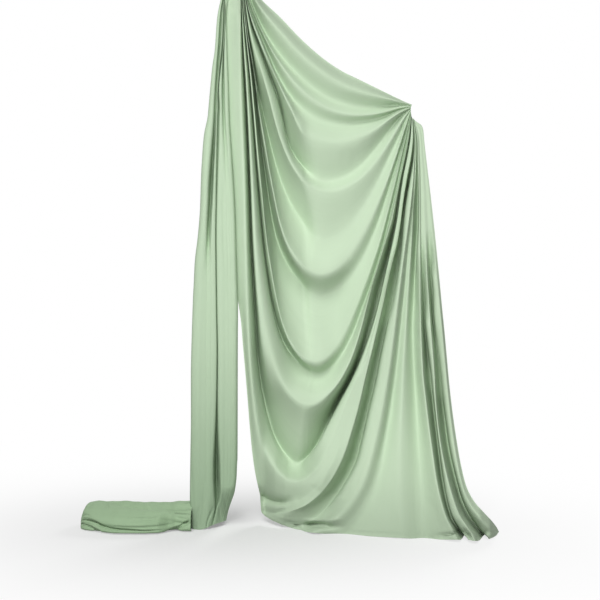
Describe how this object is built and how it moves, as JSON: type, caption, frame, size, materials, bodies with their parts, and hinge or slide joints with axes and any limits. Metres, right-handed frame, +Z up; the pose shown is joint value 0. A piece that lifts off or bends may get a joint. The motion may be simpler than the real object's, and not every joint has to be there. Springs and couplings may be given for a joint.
{
  "type": "aerial silks",
  "caption": "Aerial silks: a long tricot cloth doubled over a rescue eight, with ceiling plate, screw link, ball-bearing swivel and screw-gate carabiner.",
  "frame": {"origin": "middle of the ceiling plate's top face, where it meets the ceiling", "axes": "+Z up and out of the plate's top face; the rigging hangs down -Z; the cloth's front faces -Y, and its held corner is at +X"},
  "size_m": [2.1623, 0.4874, 3.4063],
  "materials": {
    "galvanised_steel": "zinc plated, satin",
    "anodised_alloy": "dark anodised, satin",
    "bright_steel": "polished steel",
    "silk_tricot": "pale sage-green nylon tricot, satin and slightly sheer at its edges"
  },
  "bodies": {
    "ceiling_anchor": {"anchor_plate": "galvanised_steel", "anchor_bow": "galvanised_steel", "weld_left": "galvanised_steel", "weld_right": "galvanised_steel"},
    "upper_link": {"link_body": "galvanised_steel"},
    "nut": {"link_nut": "galvanised_steel"},
    "swivel_upper": {"swivel_housing": "anodised_alloy", "swivel_cover": "anodised_alloy", "race_fixed": "bright_steel"},
    "swivel_lower": {"swivel_eye": "anodised_alloy", "race_turning": "bright_steel", "swivel_locknut": "bright_steel"},
    "ball_ring": {"bearing_cage": "bright_steel", "bearing_ball_1": "bright_steel", "bearing_ball_2": "bright_steel", "bearing_ball_3": "bright_steel", "bearing_ball_4": "bright_steel", "bearing_ball_5": "bright_steel", "bearing_ball_6": "bright_steel", "bearing_ball_7": "bright_steel", "bearing_ball_8": "bright_steel"},
    "carabiner": {"carabiner_body": "anodised_alloy", "gate_pin": "bright_steel"},
    "gate": {"carabiner_gate": "anodised_alloy"},
    "sleeve": {"gate_sleeve": "bright_steel"},
    "silks": {"rescue_eight": "anodised_alloy", "silk_hitch": "silk_tricot", "silk_right_panel": "silk_tricot", "silk_left_tail": "silk_tricot", "silk_floor_bundle": "silk_tricot"}
  },
  "joints": [
    {"name": "link_swing", "type": "hinge", "parent": "ceiling_anchor", "child": "upper_link", "pos_m": [0, 0, -0.054], "axis": [1, 0, 0], "range_deg": [-35, 35]},
    {"name": "nut_slide", "type": "slide", "parent": "upper_link", "child": "nut", "axis": [0, 0, 1], "range_m": [0, 0.015]},
    {"name": "swivel_swing", "type": "hinge", "parent": "upper_link", "child": "swivel_upper", "pos_m": [0, 0, -0.1297], "axis": [0, 1, 0], "range_deg": [-35, 35]},
    {"name": "swivel_spin", "type": "hinge", "parent": "swivel_upper", "child": "swivel_lower", "pos_m": [0, 0, -0.18], "axis": [0, 0, 1], "continuous": true},
    {"name": "ball_orbit", "type": "hinge", "parent": "swivel_upper", "child": "ball_ring", "pos_m": [0, 0, -0.18], "axis": [0, 0, 1], "continuous": true},
    {"name": "carabiner_swing", "type": "hinge", "parent": "swivel_lower", "child": "carabiner", "pos_m": [0, 0, -0.2249], "axis": [1, 0, 0], "range_deg": [-30, 30]},
    {"name": "gate_hinge", "type": "hinge", "parent": "carabiner", "child": "gate", "pos_m": [0, 0.021, -0.2899], "axis": [1, 0, 0], "range_deg": [0, 25], "stiffness_Nm_per_rad": 0.25, "springref_deg": -22.92},
    {"name": "sleeve_slide", "type": "slide", "parent": "gate", "child": "sleeve", "axis": [0, 0, 1], "range_m": [0, 0.02]},
    {"name": "eight_swing", "type": "hinge", "parent": "carabiner", "child": "silks", "pos_m": [0, 0, -0.3181], "axis": [0, 1, 0], "range_deg": [-30, 30]}
  ],
  "couplings": [
    {"joint": "ball_orbit", "follows": "swivel_spin", "ratio": 0.5}
  ]
}
